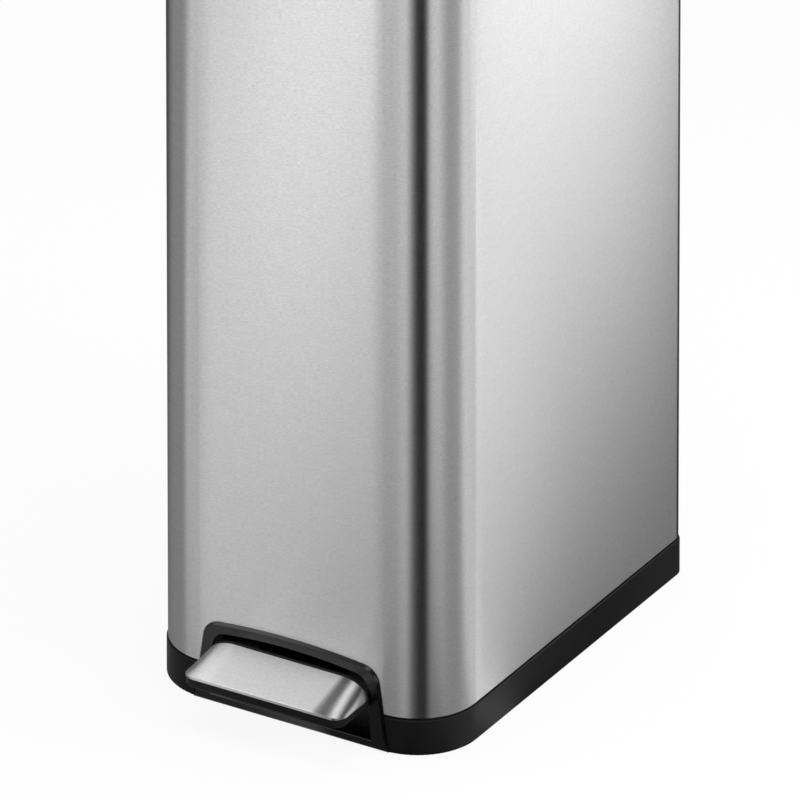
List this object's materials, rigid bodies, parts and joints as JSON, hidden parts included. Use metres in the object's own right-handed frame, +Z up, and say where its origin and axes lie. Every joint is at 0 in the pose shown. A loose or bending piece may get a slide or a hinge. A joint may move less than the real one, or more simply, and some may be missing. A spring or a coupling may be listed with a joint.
{
  "type": "pedal trash can",
  "caption": "Slim rectangular step-on waste can: brushed steel shell on a black moulded base, with a front pedal whose lever and rod lift a hinged lid over a lift-out bucket.",
  "frame": {"origin": "on the floor, under the middle of the overall width and of the overall length from the pedal's front edge to the base's rear edge", "axes": "+Z up, -Y towards the front where the pedal is, +X to the right seen from the front"},
  "size_m": [0.252, 0.387, 0.668],
  "materials": {
    "brushed_steel": "fine level brushing",
    "black_plastic": "satin moulded",
    "grey_plastic": "moulded",
    "bucket_plastic": "satin moulded",
    "zinc_steel": "bright zinc plating",
    "rubber": "matt"
  },
  "bodies": {
    "body": {"base": "black_plastic", "feet": "rubber", "outer_shell": "brushed_steel", "rear_panel": "black_plastic", "pedal_surround": "black_plastic", "mechanism_cover": "grey_plastic", "cover_screws": "zinc_steel", "panel_screws": "zinc_steel", "axle_blocks": "grey_plastic", "axle_screws": "zinc_steel", "pedal_axle": "zinc_steel", "rod_guide_lower": "grey_plastic", "rod_guide_upper": "grey_plastic", "guide_screws": "zinc_steel", "top_collar": "black_plastic", "hinge_pin": "zinc_steel", "lid_bumpers": "rubber", "inner_bucket": "bucket_plastic"},
    "lid": {"lid_shell": "brushed_steel", "lid_liner": "black_plastic", "crank_pin": "zinc_steel"},
    "pedal": {"pedal_core": "black_plastic", "pedal_cover": "brushed_steel", "pedal_lever": "zinc_steel", "lever_bushes": "grey_plastic", "lever_pin": "zinc_steel", "pedal_screws": "zinc_steel"},
    "rod": {"lift_rod": "zinc_steel", "rod_foot": "grey_plastic", "rod_head": "grey_plastic"}
  },
  "joints": [
    {"name": "lid_hinge", "type": "hinge", "parent": "body", "child": "lid", "pos_m": [0, 0.1745, 0.644], "axis": [-1, 0, 0], "range_deg": [0, 80]},
    {"name": "pedal_pivot", "type": "hinge", "parent": "body", "child": "pedal", "pos_m": [0, -0.03, 0.03], "axis": [1, 0, 0], "range_deg": [0, 8.8]},
    {"name": "rod_slide", "type": "slide", "parent": "body", "child": "rod", "axis": [0, 0, 1], "range_m": [0, 0.0284]}
  ],
  "couplings": [
    {"joint": "pedal_pivot", "follows": "lid_hinge", "ratio": 0.1099},
    {"joint": "rod_slide", "follows": "lid_hinge", "m_per_rad": 0.020255}
  ]
}
